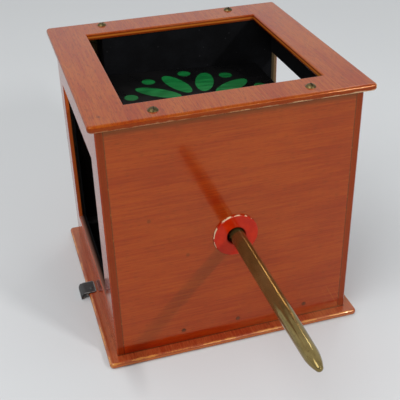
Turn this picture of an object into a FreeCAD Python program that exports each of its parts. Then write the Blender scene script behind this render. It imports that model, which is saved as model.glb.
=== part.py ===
import FreeCAD, Part
import os
import re
import Sketcher

# A stage cabinet with an impaled block. A varnished plywood casing has an open top and a window in
# each side. A brass rod runs through red bushes in the front and the back, and carries a black block.
# Millimetres. X is to the right, Y to the back and Z up. The origin is the middle of the underside.

SIZES = {
    # Casing walls: the front and back panels stand between the two side panels.
    "panel_width": 165.0,
    "side_depth": 165.0,
    "wall_height": 178.0,
    "wall_ply": 4.8,
    "side_corner_ease": 0.8,
    # Base board and top frame, each with a margin round the walls.
    "base_ply": 4.8,
    "base_side_margin": 6.8,
    "base_front_margin": 8.4,
    "base_back_margin": 8.0,
    "top_ply": 4.8,
    "top_side_margin": 5.0,
    "top_front_margin": 8.4,
    "top_back_margin": 6.0,
    "plan_corner": 3.0,
    "edge_round": 2.0,
    # Rails round the opening in the top frame, and windows in the sides.
    "side_rail": 26.8,
    "front_rail": 24.7,
    "back_rail": 26.2,
    "opening_ease": 1.2,
    "window_front": 57.6,
    "window_back": 63.5,
    "left_window_height": 118.3,
    "right_window_height": 123.5,
    "window_sill": 26.8,
    "window_ease": 0.7,
    # Fasteners: round-headed screws through the top, panel pins into the battens.
    "fit_gap": 0.1,
    "screw_spread": 101.4,
    "screw_head": 7.0,
    "screw_dome": 2.1,
    "screw_shank": 2.4,
    "screw_length": 15.0,
    "screw_point": 3.0,
    "screw_slot": 1.0,
    "screw_slot_depth": 1.0,
    "pin_shank": 2.0,
    "pin_length": 11.0,
    "pin_proud": 0.15,
    "pin_height": 9.7,
    "pin_left": -38.3,
    "pin_middle": 2.5,
    "pin_right": 54.0,
    # Battens along the floor, the black linings and the black board in front of the back panel.
    "batten_width": 8.0,
    "batten_height": 15.0,
    "batten_chamfer": 1.5,
    "lining": 1.0,
    "back_board": 14.8,
    "back_bare": 28.3,
    # Bushes and rod. The rod narrows a little towards its nose.
    "bush_height": 83.7,
    "bush_side": 0.5,
    "bush_flange_margin": 7.2,
    "bush_flange_thick": 1.8,
    "bush_wall": 2.3,
    "bush_play": 1.0,
    "bush_rim_ease": 0.6,
    "rod_dia": 10.4,
    "rod_reach": 135.0,
    "rod_rear": 5.0,
    "rod_taper": 34.0,
    "rod_draw": 0.8,
    "rod_tip": 15.0,
    "rod_nose": 2.4,
    "rod_chamfer": 0.8,
    "rod_rest_gap": 0.3,
    "rod_lean": 75.0,
    # Block on the rod, which passes through the opening in the top.
    "block_side_play": 2.0,
    "block_end_play": 0.75,
    "block_height": 127.0,
    "block_wall": 5.0,
    "block_ease": 1.0,
    "block_tilt": 3.0,
    "sleeve_play": 0.4,
    "sleeve_wall": 1.6,
    # Bent steel hook pinned to the left margin of the base.
    "hook_place": -0.5,
    "hook_width": 14.0,
    "hook_sheet": 1.0,
    "hook_wall_gap": 1.0,
    "hook_reach": 2.2,
    "hook_roll": 3.2,
    "hook_turn": 105.0,
    "hook_corner": 1.5,
    "tongue_width": 6.0,
    "tongue_inset": 0.8,
    "tongue_drop": 4.2,
    "tongue_gap": 0.7,
    "hook_pin_setback": 2.6,
    "hook_pin_offset": 1.8,
    "hook_pin_head": 2.6,
    "hook_pin_dome": 0.7,
    "hook_pin_shank": 1.2,
    "hook_pin_length": 4.0,
}

# Formulas that several pieces share.
CASING_WIDTH = "(panel_width + 2 * wall_ply)"
INNER_DEPTH = "(side_depth - 2 * wall_ply)"
TOP_UNDERSIDE = "(base_ply + wall_height)"
BUSH_Z = "(base_ply + bush_height)"
TOP_WIDTH = f"({CASING_WIDTH} + 2 * top_side_margin)"
TOP_DEPTH = "(side_depth + top_front_margin + top_back_margin)"
OPENING_WIDTH = f"({TOP_WIDTH} - 2 * side_rail)"
OPENING_DEPTH = f"({TOP_DEPTH} - front_rail - back_rail)"
OPENING_Y = f"(front_rail - top_front_margin - side_depth / 2 + {OPENING_DEPTH} / 2)"
BUSH_BORE = "(rod_dia + 2 * bush_play)"
BUSH_BARREL = f"({BUSH_BORE} + 2 * bush_wall)"
BUSH_FLANGE = f"({BUSH_BARREL} + 2 * bush_flange_margin)"
ROD_LENGTH = "(rod_reach + side_depth + rod_rear)"
ROD_OFFSET = "(bush_play - rod_rest_gap)"
ROD_X = f"(bush_side + {ROD_OFFSET} * sin(rod_lean))"
ROD_Z = f"({BUSH_Z} - {ROD_OFFSET} * cos(rod_lean))"
BLOCK_WIDTH = f"({OPENING_WIDTH} - 2 * block_side_play)"
BLOCK_DEPTH = f"({OPENING_DEPTH} - 2 * block_end_play)"
PIN_PLACES = ("pin_left", "pin_middle", "pin_right")
BARREL_HOLE = f"{BUSH_BARREL} + 2 * fit_gap"
SLEEVE_BORE = "(rod_dia + 2 * sleeve_play)"
SLEEVE_OUTSIDE = f"({SLEEVE_BORE} + 2 * sleeve_wall)"

TOLERANCE = 1e-4
ALIAS = re.compile(r"\b(" + "|".join(SIZES) + r")\b")
Vector = FreeCAD.Vector
doc = FreeCAD.newDocument("BlockCabinet")


def formula(text):
    """Point every size name in a formula at its cell in the sheet."""
    return ALIAS.sub(r"Sizes.\1", text)


def bind(item, prop, text):
    """Drive a property of an object by a formula."""
    item.setExpression(prop, formula(text))


def value(item, text):
    """Work a formula out as a number."""
    return float(item.evalExpression(formula(text)))


def make_sheet():
    """Fill the sheet of driving dimensions, one named cell each."""
    sheet = doc.addObject("Spreadsheet::Sheet", "Sizes")
    for row, (name, number) in enumerate(SIZES.items(), start=1):
        sheet.set(f"A{row}", name)
        sheet.set(f"B{row}", str(number))
        sheet.setAlias(f"B{row}", name)
    doc.recompute()


def new_body(label, x="0", y="0", z="0"):
    """Start a piece whose own origin stands at the given formulas."""
    body = doc.addObject("PartDesign::Body", label)
    body.Label = label
    for letter, text in zip("xyz", (x, y, z)):
        bind(body, f"Placement.Base.{letter}", text)
    return body


def origin_plane(body, role):
    """Find one of a body's own origin planes."""
    return next(item for item in body.Origin.OriginFeatures if item.Role == role)


def sketch_on(body, role, lift="0"):
    """Attach a sketch to an origin plane, lifted along the plane's normal."""
    sketch = body.newObject("Sketcher::SketchObject", body.Name + "_sketch")
    sketch.AttachmentSupport = [(origin_plane(body, role), "")]
    sketch.MapMode = "FlatFace"
    bind(sketch, "AttachmentOffset.Base.z", lift)
    return sketch


def constrain(sketch, kind, references, text):
    """Add a constraint whose value follows a formula."""
    index = sketch.addConstraint(Sketcher.Constraint(kind, *references, value(sketch, text)))
    bind(sketch, f"Constraints[{index}]", text)


def place_point(sketch, geometry, point, x, y):
    """Fix a point of the sketch at two formulas from the origin."""
    for kind, axis, text in (("DistanceX", -2, x), ("DistanceY", -1, y)):
        if text == "0":
            sketch.addConstraint(Sketcher.Constraint("PointOnObject", geometry, point, axis))
        else:
            constrain(sketch, kind, (-1, 1, geometry, point), text)


def arc_between(start, end, radius):
    """Make the short arc from start to end; a positive radius bulges to the right of the way."""
    chord = end - start
    middle = (start + end) * 0.5
    depth = max(radius * radius - chord.Length ** 2 / 4, 0.0) ** 0.5
    side = Vector(-chord.y, chord.x, 0).normalize()
    centre = middle + side * (depth if radius > 0 else -depth)
    first, last = (start, end) if radius > 0 else (end, start)
    full_circle = Part.Circle(centre, Vector(0, 0, 1), abs(radius))
    return Part.ArcOfCircle(full_circle, full_circle.parameter(first), full_circle.parameter(last))


def outline(sketch, points):
    """Draw a closed outline.

    Each point is a pair of formulas, or three where an arc leads on from it: the third is the arc's
    radius, with a minus sign where the arc bulges to the left of the way.
    """
    places = [Vector(value(sketch, point[0]), value(sketch, point[1]), 0) for point in points]
    ends = []
    for index, point in enumerate(points):
        start = places[index]
        end = places[(index + 1) % len(places)]
        if len(point) == 2:
            ends.append((sketch.addGeometry(Part.LineSegment(start, end)), 1, 2))
            continue
        radius = value(sketch, point[2])
        geometry = sketch.addGeometry(arc_between(start, end, radius))
        ends.append((geometry, 1, 2) if radius > 0 else (geometry, 2, 1))
        constrain(sketch, "Radius", (geometry,), f"abs({point[2]})")
    for index, (geometry, head, tail) in enumerate(ends):
        following = ends[(index + 1) % len(ends)]
        sketch.addConstraint(Sketcher.Constraint("Coincident", geometry, tail, following[0], following[1]))
        place_point(sketch, geometry, head, *points[index][:2])


def rectangle(sketch, width, height, centre_x="0", centre_y="0"):
    """Draw a rectangle about a centre."""
    left, right = (f"{centre_x} {sign} ({width}) / 2" for sign in "-+")
    low, high = (f"{centre_y} {sign} ({height}) / 2" for sign in "-+")
    outline(sketch, [(left, low), (right, low), (right, high), (left, high)])


def standing_rectangle(sketch, width, height, foot="0", centre="0"):
    """Draw a rectangle that stands on a level, centred across."""
    rectangle(sketch, width, height, centre, f"{foot} + ({height}) / 2")


def circle(sketch, diameter, x="0", y="0"):
    """Draw a circle at two formulas from the origin."""
    centre = Vector(value(sketch, x), value(sketch, y), 0)
    geometry = sketch.addGeometry(Part.Circle(centre, Vector(0, 0, 1), value(sketch, diameter) / 2))
    place_point(sketch, geometry, 3, x, y)
    constrain(sketch, "Diameter", (geometry,), diameter)


def pad(body, sketch, length, reverse=False, both_ways=False):
    """Extrude a sketch."""
    feature = body.newObject("PartDesign::Pad", body.Name + "_pad")
    feature.Profile = sketch
    feature.Reversed = reverse
    feature.Midplane = both_ways
    bind(feature, "Length", length)
    doc.recompute()
    return feature


def revolve(body, sketch):
    """Turn a sketch a full turn about its own upright axis."""
    feature = body.newObject("PartDesign::Revolution", body.Name + "_turned")
    feature.Profile = sketch
    feature.ReferenceAxis = (sketch, ["V_Axis"])
    feature.Angle = 360
    doc.recompute()
    return feature


def cut(body, sketch, depth=None, reverse=False):
    """Cut a sketch to a depth, or right through both ways, and make sure that it removed something."""
    before = body.Tip.Shape.Volume
    feature = body.newObject("PartDesign::Pocket", body.Name + "_cut")
    feature.Profile = sketch
    feature.Reversed = reverse
    if depth is None:
        feature.Type = "ThroughAll"
        feature.Midplane = True
    else:
        bind(feature, "Length", depth)
    doc.recompute()
    if feature.Shape.Volume > before - TOLERANCE:
        raise ValueError(f"the cut in {body.Label} removed nothing")
    return feature


def ease(body, radius, test, kind="Fillet"):
    """Round or chamfer the edges of a body that pass a test."""
    base = body.Tip
    names = [f"Edge{index}" for index, edge in enumerate(base.Shape.Edges, start=1) if test(edge.BoundBox)]
    if not names:
        raise ValueError(f"no edge to ease in {body.Label}")
    feature = body.newObject(f"PartDesign::{kind}", body.Name + "_eased")
    feature.Base = (base, names)
    bind(feature, "Radius" if kind == "Fillet" else "Size", radius)
    doc.recompute()
    return feature


def same(one, other):
    """Tell whether two lengths agree."""
    return abs(one - other) < TOLERANCE


def upright(box):
    """Tell whether an edge stands along Z."""
    return box.XLength < TOLERANCE and box.YLength < TOLERANCE


def level(box):
    """Tell whether an edge lies flat."""
    return box.ZLength < TOLERANCE


def bullnose(body, thickness, test=level):
    """Round a board's level edges, within half of its thickness."""
    ease(body, f"min(edge_round; 0.45 * {thickness})", test)


def make_base_board():
    """Base board, rounded all round, with the hole for the hook's pin."""
    width = f"{CASING_WIDTH} + 2 * base_side_margin"
    depth = "side_depth + base_front_margin + base_back_margin"
    body = new_body("base_board", y="(base_back_margin - base_front_margin) / 2")
    plan = sketch_on(body, "XY_Plane")
    rectangle(plan, width, depth)
    pad(body, plan, "base_ply")
    ease(body, "plan_corner", upright)
    bullnose(body, "base_ply")
    hole = sketch_on(body, "XY_Plane", "base_ply")
    hole_y = "hook_place - hook_pin_offset - (base_back_margin - base_front_margin) / 2"
    circle(hole, "hook_pin_shank + 2 * fit_gap", f"hook_pin_setback - ({width}) / 2", hole_y)
    cut(body, hole, "hook_pin_length - hook_sheet + fit_gap")
    return body


def make_top_frame():
    """Top frame: one board with a wide opening, eased edges and four screw holes."""
    body = new_body("top_frame", z=TOP_UNDERSIDE)
    plan = sketch_on(body, "XY_Plane")
    rectangle(plan, TOP_WIDTH, TOP_DEPTH, centre_y="(top_back_margin - top_front_margin) / 2")
    rectangle(plan, OPENING_WIDTH, OPENING_DEPTH, centre_y=OPENING_Y)
    pad(body, plan, "top_ply")
    half_opening = value(body, OPENING_WIDTH) / 2

    def outer(box):
        return max(abs(box.XMin), abs(box.XMax)) > half_opening + TOLERANCE

    ease(body, "plan_corner", lambda box: upright(box) and outer(box))
    bullnose(body, "top_ply", lambda box: level(box) and outer(box))
    ease(body, "min(opening_ease; 0.45 * top_ply)", lambda box: level(box) and not outer(box))
    holes = sketch_on(body, "XY_Plane")
    for across in ("-screw_spread / 2", "screw_spread / 2"):
        for along in ("-(side_depth - wall_ply) / 2", "(side_depth - wall_ply) / 2"):
            circle(holes, "screw_shank + 2 * fit_gap", across, along)
    cut(body, holes)
    return body


def make_end_panel(label, outer_face):
    """Front or back panel, with the bush hole, pin holes and screw pilots in its top edge."""
    body = new_body(label, y=outer_face, z="base_ply")
    face = sketch_on(body, "XZ_Plane")
    standing_rectangle(face, "panel_width", "wall_height")
    circle(face, BARREL_HOLE, "bush_side", "bush_height")
    for across in PIN_PLACES:
        circle(face, "pin_shank + 2 * fit_gap", across, "pin_height")
    pad(body, face, "wall_ply")
    pilots = sketch_on(body, "XY_Plane", "wall_height")
    for across in ("-screw_spread / 2", "screw_spread / 2"):
        circle(pilots, "screw_shank + 2 * fit_gap", across, "-wall_ply / 2")
    cut(body, pilots, "screw_length - top_ply + fit_gap")
    return body


def window(sketch, height):
    """Draw a side window, which is a little nearer to the back."""
    width = "(window_front + window_back)"
    standing_rectangle(sketch, width, height, "window_sill", "(window_back - window_front) / 2")


def make_window_panel(label, inner_face, outward, height):
    """Side panel with its window; outward is -1 on the left and 1 on the right."""
    body = new_body(label, x=inner_face, z="base_ply")
    face = sketch_on(body, "YZ_Plane")
    standing_rectangle(face, "side_depth", "wall_height")
    window(face, height)
    pad(body, face, "wall_ply", reverse=outward < 0)
    outer = outward * value(body, "wall_ply")
    edge_y = value(body, "side_depth / 2")

    def on_face(box):
        return same(box.XMin, outer) and same(box.XMax, outer)

    def inside(box):
        return max(abs(box.YMin), abs(box.YMax)) < edge_y - TOLERANCE

    def corner(box):
        return on_face(box) and upright(box) and not inside(box)

    def frame(box):
        return on_face(box) and inside(box) and box.ZMin > TOLERANCE

    ease(body, "side_corner_ease", corner, kind="Chamfer")
    ease(body, "window_ease", frame, kind="Chamfer")
    return body


def make_top_screws():
    """Four slotted round-head screws that hold the top frame to the end panels."""
    body = new_body(
        "top_screws",
        x="-screw_spread / 2",
        y="(side_depth - wall_ply) / 2",
        z=f"{TOP_UNDERSIDE} + top_ply",
    )
    profile = sketch_on(body, "XZ_Plane")
    dome_radius = "(screw_head ^ 2 / 4 + screw_dome ^ 2) / (2 * screw_dome)"
    outline(profile, [
        ("0", "-screw_length"),
        ("screw_shank / 2", "screw_point - screw_length"),
        ("screw_shank / 2", "0"),
        ("screw_head / 2", "0", dome_radius),
        ("0", "screw_dome"),
    ])
    turned = revolve(body, profile)
    slot = sketch_on(body, "XZ_Plane")
    rectangle(slot, "screw_slot", "2 * screw_slot_depth", "0", "screw_dome")
    slotted = cut(body, slot)
    four = body.newObject("PartDesign::MultiTransform", "top_screws_four")
    four.Originals = [turned, slotted]
    rows = []
    for axis, pitch in (("H_Axis", "screw_spread"), ("N_Axis", "side_depth - wall_ply")):
        row = body.newObject("PartDesign::LinearPattern", "top_screws_row")
        row.Direction = (profile, [axis])
        row.Occurrences = 2
        bind(row, "Length", pitch)
        rows.append(row)
    four.Transformations = rows
    body.Tip = four
    return body


def make_panel_pins():
    """Panel pins through the foot of the front and back panels into the battens."""
    body = new_body("panel_pins", z="base_ply")
    dots = sketch_on(body, "XZ_Plane", "side_depth / 2 + pin_proud")
    for across in PIN_PLACES:
        circle(dots, "pin_shank", across, "pin_height")
    front = pad(body, dots, "pin_proud + pin_length", reverse=True)
    both = body.newObject("PartDesign::Mirrored", "panel_pins_both")
    both.Originals = [front]
    both.MirrorPlane = (origin_plane(body, "XZ_Plane"), [""])
    body.Tip = both
    return body


def make_batten(label, side):
    """Floor batten inside an end panel; side is -1 at the front and 1 at the back."""
    body = new_body(label, y=f"{side} * {INNER_DEPTH} / 2", z="base_ply")
    plan = sketch_on(body, "XY_Plane")
    rectangle(plan, "panel_width - 2 * lining", "batten_width", "0", f"{-side} * batten_width / 2")
    pad(body, plan, "batten_height")
    top = value(body, "batten_height")
    inner = -side * value(body, "batten_width")
    ease(
        body,
        "batten_chamfer",
        lambda box: same(box.ZMin, top) and same(box.YMin, inner) and same(box.YMax, inner),
        kind="Chamfer",
    )
    holes = sketch_on(body, "XZ_Plane")
    for across in PIN_PLACES:
        circle(holes, "pin_shank + 2 * fit_gap", across, "pin_height")
    cut(body, holes, "pin_length - wall_ply + fit_gap", reverse=side > 0)
    return body


def make_end_lining(label, outer_face, thickness, left_bare):
    """Black lining of an end panel, above its batten and between the side linings."""
    body = new_body(label, y=outer_face, z="base_ply")
    face = sketch_on(body, "XZ_Plane")
    width = f"panel_width - lining - {left_bare}"
    middle = f"({left_bare} - lining) / 2"
    standing_rectangle(face, width, "wall_height - batten_height", "batten_height", middle)
    circle(face, BARREL_HOLE, "bush_side", "bush_height")
    pad(body, face, thickness)
    return body


def make_side_lining(label, wall_face, outward, height):
    """Black lining of a side panel, with the same window."""
    body = new_body(label, x=wall_face, z="base_ply")
    face = sketch_on(body, "YZ_Plane")
    standing_rectangle(face, INNER_DEPTH, "wall_height")
    window(face, height)
    pad(body, face, "lining", reverse=outward > 0)
    return body


def make_floor_lining():
    """Black lining of the floor between the battens."""
    body = new_body("floor_lining", z="base_ply")
    plan = sketch_on(body, "XY_Plane")
    rectangle(plan, "panel_width - 2 * lining", f"{INNER_DEPTH} - 2 * batten_width")
    pad(body, plan, "lining")
    return body


def make_bush(label, side, lining):
    """Turned bush with a flat flange outside and a barrel through the panel and its lining."""
    body = new_body(label, x="bush_side", y=f"{side} * side_depth / 2", z=BUSH_Z)
    if side > 0:
        body.Placement.Rotation = FreeCAD.Rotation(Vector(0, 0, 1), 180)
    profile = sketch_on(body, "XY_Plane")
    outline(profile, [
        (f"{BUSH_BORE} / 2", "-bush_flange_thick"),
        (f"{BUSH_FLANGE} / 2", "-bush_flange_thick"),
        (f"{BUSH_FLANGE} / 2", "0"),
        (f"{BUSH_BARREL} / 2", "0"),
        (f"{BUSH_BARREL} / 2", f"wall_ply + {lining}"),
        (f"{BUSH_BORE} / 2", f"wall_ply + {lining}"),
    ])
    revolve(body, profile)
    face = -value(body, "bush_flange_thick")
    ease(
        body,
        "min(bush_rim_ease; 0.45 * bush_flange_thick)",
        lambda box: same(box.YMin, face) and same(box.YMax, face),
        kind="Chamfer",
    )
    return body


def make_rod():
    """Brass rod: a round nose that runs into an ogive, a slight taper and a chamfered rear end."""
    body = new_body("rod", x=ROD_X, y="-side_depth / 2 - rod_reach", z=ROD_Z)
    profile = sketch_on(body, "XY_Plane")
    shoulder = "((rod_dia - rod_draw) / 2)"
    reach = "(rod_tip - rod_nose)"
    ogive = f"(({shoulder} ^ 2 + {reach} ^ 2 - rod_nose ^ 2) / (2 * ({shoulder} - rod_nose)))"
    share = f"(rod_nose / ({ogive} - rod_nose))"
    outline(profile, [
        ("0", "0", "rod_nose"),
        (f"({ogive} - {shoulder}) * {share}", f"rod_nose - {reach} * {share}", ogive),
        (shoulder, "rod_tip"),
        ("rod_dia / 2", "rod_tip + rod_taper"),
        ("rod_dia / 2", f"{ROD_LENGTH} - rod_chamfer"),
        ("rod_dia / 2 - rod_chamfer", ROD_LENGTH),
        ("0", ROD_LENGTH),
    ])
    revolve(body, profile)
    return body


def block_body(label):
    """Start a piece of the block, in the block's own frame about the rod."""
    body = new_body(label, x=ROD_X, y=OPENING_Y, z=ROD_Z)
    body.Placement.Rotation = FreeCAD.Rotation(Vector(0, 1, 0), 1)
    bind(body, "Placement.Rotation.Angle", "block_tilt")
    return body


def make_block_cap(label, side):
    """Top or bottom of the block, the full size of it, with eased outer edges."""
    body = block_body(label)
    plan = sketch_on(body, "XY_Plane", f"{side} * block_height / 2")
    rectangle(plan, BLOCK_WIDTH, BLOCK_DEPTH)
    pad(body, plan, "block_wall", reverse=side > 0)
    outer = side * value(body, "block_height / 2")

    def exposed(box):
        return upright(box) or (level(box) and same(box.ZMin, outer))

    ease(body, "block_ease", exposed, kind="Chamfer")
    return body


def make_block_side(label, side):
    """Left or right wall of the block, between its top and bottom."""
    body = block_body(label)
    face = sketch_on(body, "YZ_Plane", f"{side} * {BLOCK_WIDTH} / 2")
    rectangle(face, BLOCK_DEPTH, "block_height - 2 * block_wall")
    pad(body, face, "block_wall", reverse=side > 0)
    outer = side * value(body, BLOCK_WIDTH) / 2
    ease(body, "block_ease", lambda box: upright(box) and same(box.XMin, outer), kind="Chamfer")
    return body


def make_block_end(label, side):
    """Front or back wall of the block, between the other four, with the sleeve's hole."""
    body = block_body(label)
    face = sketch_on(body, "XZ_Plane", f"{-side} * {BLOCK_DEPTH} / 2")
    rectangle(face, f"{BLOCK_WIDTH} - 2 * block_wall", "block_height - 2 * block_wall")
    circle(face, f"{SLEEVE_OUTSIDE} + 2 * fit_gap")
    pad(body, face, "block_wall", reverse=side < 0)
    return body


def make_block_sleeve():
    """Tube through the block that guides the rod, flush with both ends."""
    body = block_body("block_sleeve")
    ring = sketch_on(body, "XZ_Plane")
    circle(ring, SLEEVE_OUTSIDE)
    circle(ring, SLEEVE_BORE)
    pad(body, ring, BLOCK_DEPTH, both_ways=True)
    return body


def hook_body(label, y):
    """Start a piece of the hook, with its origin on the top edge of the base's left margin."""
    return new_body(label, x=f"-{CASING_WIDTH} / 2 - base_side_margin", y=y, z="base_ply")


def make_edge_hook():
    """Bent steel hook: a flat leaf, a roll down past the edge and a tongue along it."""
    body = hook_body("edge_hook", "hook_place")
    profile = sketch_on(body, "XZ_Plane")
    leaf_end = "base_side_margin - hook_wall_gap"
    outer = "(hook_roll + hook_sheet)"
    outline(profile, [
        (leaf_end, "0"),
        (leaf_end, "hook_sheet"),
        ("-hook_reach", "hook_sheet", outer),
        (f"{outer} * cos(90 + hook_turn) - hook_reach", f"{outer} * sin(90 + hook_turn) - hook_roll"),
        ("hook_roll * cos(90 + hook_turn) - hook_reach", "hook_roll * sin(90 + hook_turn) - hook_roll",
         "-hook_roll"),
        ("-hook_reach", "0"),
    ])
    pad(body, profile, "hook_width", both_ways=True)
    end_x = value(body, leaf_end)
    ease(body, "hook_corner", lambda box: upright(box) and same(box.XMin, end_x))
    tongue = sketch_on(body, "YZ_Plane", "-tongue_gap")
    front = "tongue_inset - hook_width / 2"
    back = f"{front} + tongue_width"
    straight_end = "tongue_width / 2 - tongue_drop"
    outline(tongue, [
        (back, "hook_sheet / 2"),
        (front, "hook_sheet / 2"),
        (front, straight_end, "tongue_width / 2"),
        (f"{front} + tongue_width / 2", "-tongue_drop", "tongue_width / 2"),
        (back, straight_end),
    ])
    pad(body, tongue, "hook_sheet", reverse=True)
    hole = sketch_on(body, "XY_Plane", "hook_sheet")
    circle(hole, "hook_pin_shank + 2 * fit_gap", "hook_pin_setback", "-hook_pin_offset")
    cut(body, hole, "hook_sheet")
    return body


def make_edge_hook_pin():
    """Domed pin that holds the hook to the base."""
    body = hook_body("edge_hook_pin", "hook_place - hook_pin_offset")
    profile = sketch_on(body, "XZ_Plane")
    dome_radius = "(hook_pin_head ^ 2 / 4 + hook_pin_dome ^ 2) / (2 * hook_pin_dome)"
    outline(profile, [
        ("0", "hook_sheet - hook_pin_length"),
        ("hook_pin_shank / 2", "hook_sheet - hook_pin_length"),
        ("hook_pin_shank / 2", "hook_sheet"),
        ("hook_pin_head / 2", "hook_sheet", dome_radius),
        ("0", "hook_sheet + hook_pin_dome"),
    ])
    revolve(body, profile)
    bind(body, "Placement.Base.x", f"hook_pin_setback - {CASING_WIDTH} / 2 - base_side_margin")
    return body


def make_casing():
    """Build the fixed pieces of the casing."""
    front_face = "wall_ply - side_depth / 2"
    back_face = "side_depth / 2"
    return [
        make_base_board(),
        make_top_frame(),
        make_end_panel("front_panel", front_face),
        make_end_panel("back_panel", back_face),
        make_window_panel("left_window_panel", "-panel_width / 2", -1, "left_window_height"),
        make_window_panel("right_window_panel", "panel_width / 2", 1, "right_window_height"),
        make_top_screws(),
        make_batten("front_batten", -1),
        make_batten("back_batten", 1),
        make_panel_pins(),
        make_end_lining("front_lining", f"{front_face} + lining", "lining", "lining"),
        make_end_lining("back_lining", f"{back_face} - wall_ply", "back_board", "back_bare"),
        make_side_lining("left_lining", "-panel_width / 2", -1, "left_window_height"),
        make_side_lining("right_lining", "panel_width / 2", 1, "right_window_height"),
        make_floor_lining(),
        make_bush("front_bush", -1, "lining"),
        make_bush("back_bush", 1, "back_board"),
        make_edge_hook(),
        make_edge_hook_pin(),
    ]


def make_block():
    """Build the pieces of the block."""
    return [
        make_block_cap("block_top", 1),
        make_block_cap("block_bottom", -1),
        make_block_side("block_left", -1),
        make_block_side("block_right", 1),
        make_block_end("block_front", -1),
        make_block_end("block_back", 1),
        make_block_sleeve(),
    ]


def check(pieces):
    """Stop if any object failed or any piece has no valid solid."""
    for item in doc.Objects:
        if "Invalid" in item.State or "Error" in item.State:
            raise ValueError(f"{item.Label} failed: {item.State}")
    for piece in pieces:
        if piece.Shape.isNull() or not piece.Shape.isValid() or not piece.Shape.Solids:
            raise ValueError(f"{piece.Label} has no valid solid")


def main():
    """Build every piece, check them all and write one file each."""
    make_sheet()
    pieces = make_casing() + [make_rod()] + make_block()
    doc.recompute()
    check(pieces)
    os.makedirs("parts", exist_ok=True)
    for piece in pieces:
        piece.Shape.exportStep(f"parts/{piece.Label}.step")
        print(f"{piece.Label}: {len(piece.Shape.Solids)} solid, {piece.Shape.Volume / 1000:.2f} cm3")


main()
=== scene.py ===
"""Finish of a stage cabinet: a varnished plywood casing, a brass rod through red bushes and a black block."""

import logging
import math
from dataclasses import dataclass, field
from enum import Enum
from typing import Any, Callable, Iterable

import bpy
from mathutils import Matrix, Quaternion, Vector


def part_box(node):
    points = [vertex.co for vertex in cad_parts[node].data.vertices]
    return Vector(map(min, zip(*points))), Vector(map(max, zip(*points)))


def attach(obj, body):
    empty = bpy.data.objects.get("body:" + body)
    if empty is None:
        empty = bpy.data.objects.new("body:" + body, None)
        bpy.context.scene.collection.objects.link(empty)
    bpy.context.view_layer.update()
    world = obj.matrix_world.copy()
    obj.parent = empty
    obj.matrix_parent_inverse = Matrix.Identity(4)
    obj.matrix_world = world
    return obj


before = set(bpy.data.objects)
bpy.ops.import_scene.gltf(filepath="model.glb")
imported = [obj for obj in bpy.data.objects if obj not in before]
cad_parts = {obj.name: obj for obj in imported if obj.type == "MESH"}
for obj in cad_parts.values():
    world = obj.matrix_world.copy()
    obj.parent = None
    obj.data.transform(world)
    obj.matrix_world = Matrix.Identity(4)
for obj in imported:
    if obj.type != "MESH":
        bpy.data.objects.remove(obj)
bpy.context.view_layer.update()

LOG = logging.getLogger("cabinet")
MM = 0.001

Colour = tuple[float, float, float, float]
Triple = tuple[float, float, float]
Socket = bpy.types.NodeSocket


def srgb(red: int, green: int, blue: int) -> Colour:
    """Turn a colour in display values from 0 to 255 into linear light.

    Args:
        red: Red display value.
        green: Green display value.
        blue: Blue display value.

    Returns:
        The linear colour, with full opacity.
    """
    def linear(value: float) -> float:
        """Decode one channel."""
        share = value / 255
        return share / 12.92 if share <= 0.04045 else ((share + 0.055) / 1.055) ** 2.4

    return linear(red), linear(green), linear(blue), 1.0


class Grain(Enum):
    """Way that the grain of a board runs, as the turn that brings it to the X axis."""

    ACROSS = (0.0, 0.0, 0.0)
    DEEP = (0.0, 0.0, -math.pi / 2)


class Sheet(Enum):
    """Axis of a board's thickness: its number, and the turn that brings it to the Z axis."""

    X = (0, (0.0, -math.pi / 2, 0.0))
    Y = (1, (math.pi / 2, 0.0, 0.0))
    Z = (2, (0.0, 0.0, 0.0))

    @property
    def axis(self) -> int:
        """Give the number of the axis."""
        return self.value[0]

    @property
    def turn(self) -> Triple:
        """Give the turn that lays the board flat."""
        return self.value[1]


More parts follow.
